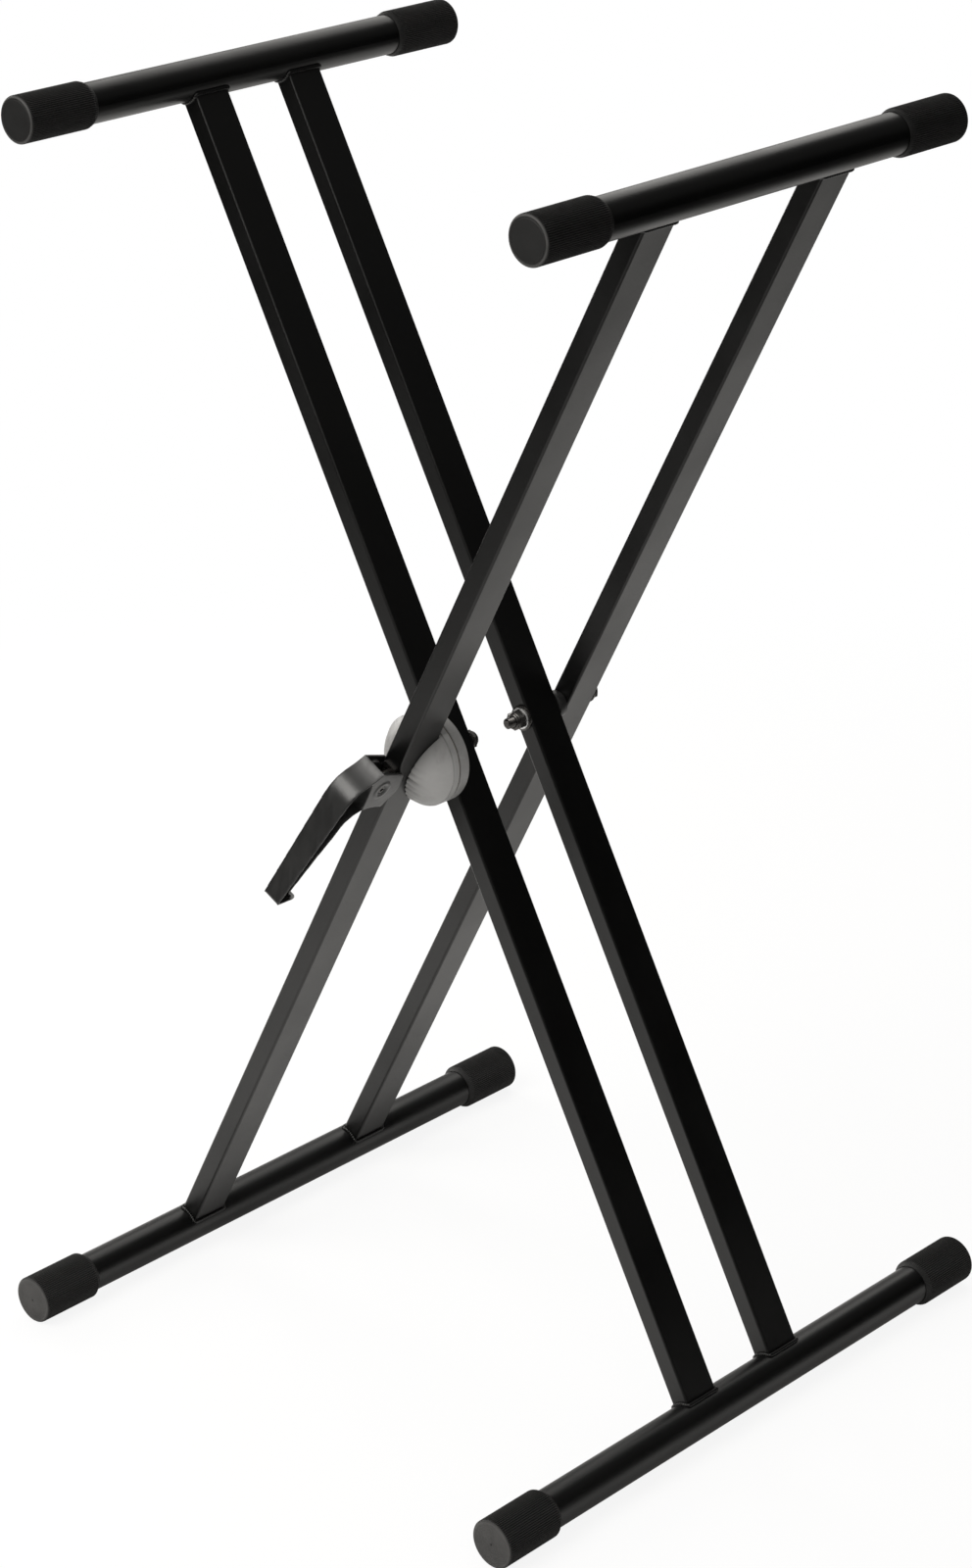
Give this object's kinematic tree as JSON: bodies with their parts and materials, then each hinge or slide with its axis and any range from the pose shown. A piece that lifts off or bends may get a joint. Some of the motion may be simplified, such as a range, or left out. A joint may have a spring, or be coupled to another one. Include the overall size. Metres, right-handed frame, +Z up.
{
  "type": "folding keyboard stand",
  "caption": "Double-braced folding X stand that holds a keyboard instrument on ribbed rubber caps, with a clutch lever at its front pivot.",
  "frame": {"origin": "middle of the stand on the floor, under the pivot axis, at the standing pose", "axes": "+Z up, bars and pivot axis along Y, the clutch and its lever at -Y, and the frames cross in the XZ plane, the inner frame's top bar at -X"},
  "size_m": [0.5018, 0.505, 0.9131],
  "materials": {
    "black_powder_coat": "satin black powder coat on steel tube, slightly orange-peeled",
    "cap_rubber": "matte black moulded rubber with fine lengthwise ribs",
    "grey_clutch_plastic": "satin warm light grey moulded plastic",
    "friction_lining": "matte pressed fibre",
    "black_lever_plastic": "satin black moulded plastic",
    "black_nylon": "satin black nylon",
    "black_fastener_steel": "black oxide on steel, lightly oiled",
    "zinc_steel": "bright zinc plate"
  },
  "bodies": {
    "inner_frame": {"leg_inner_front": "black_powder_coat", "leg_inner_rear": "black_powder_coat", "top_bar_inner": "black_powder_coat", "foot_bar_inner": "black_powder_coat", "welds_inner_top": "black_powder_coat", "welds_inner_foot": "black_powder_coat", "cap_top_inner_front": "cap_rubber", "cap_top_inner_rear": "cap_rubber", "cap_foot_inner_front": "cap_rubber", "cap_foot_inner_rear": "cap_rubber", "sleeve_inner_front": "zinc_steel", "sleeve_inner_rear": "zinc_steel", "clutch_inner_housing": "grey_clutch_plastic", "clutch_lining": "friction_lining", "front_washer": "black_fastener_steel", "rear_wide_washer": "black_fastener_steel", "rear_bright_washer": "zinc_steel"},
    "outer_frame": {"leg_outer_front": "black_powder_coat", "leg_outer_rear": "black_powder_coat", "top_bar_outer": "black_powder_coat", "foot_bar_outer": "black_powder_coat", "welds_outer_top": "black_powder_coat", "welds_outer_foot": "black_powder_coat", "cap_top_outer_front": "cap_rubber", "cap_top_outer_rear": "cap_rubber", "cap_foot_outer_front": "cap_rubber", "cap_foot_outer_rear": "cap_rubber", "sleeve_outer_front": "zinc_steel", "sleeve_outer_rear": "zinc_steel", "clutch_outer_housing": "grey_clutch_plastic", "clutch_disc_springs": "zinc_steel", "thrust_plate": "black_fastener_steel", "rear_bolt": "black_fastener_steel", "rear_head_washer": "black_fastener_steel", "rear_spacer": "black_nylon", "rear_lock_nut": "black_fastener_steel"},
    "draw_bolt": {"draw_bolt": "black_fastener_steel", "front_nut": "black_fastener_steel"},
    "lever": {"clutch_lever": "black_lever_plastic", "lever_pin": "black_fastener_steel"}
  },
  "joints": [
    {"name": "frame_fold", "type": "hinge", "parent": "inner_frame", "child": "outer_frame", "pos_m": [0, 0, 0.45816], "axis": [0, 1, 0], "range_deg": [-50, 42]},
    {"name": "draw_bolt_slide", "type": "slide", "parent": "outer_frame", "child": "draw_bolt", "axis": [0, 1, 0], "range_m": [0, 0.001]},
    {"name": "lever_open", "type": "hinge", "parent": "draw_bolt", "child": "lever", "pos_m": [0, -0.11625, 0.45816], "axis": [-0.8838, 0, 0.4679], "range_deg": [0, 60]}
  ],
  "couplings": [
    {"joint": "draw_bolt_slide", "follows": "lever_open", "m_per_rad": 0.000954}
  ]
}
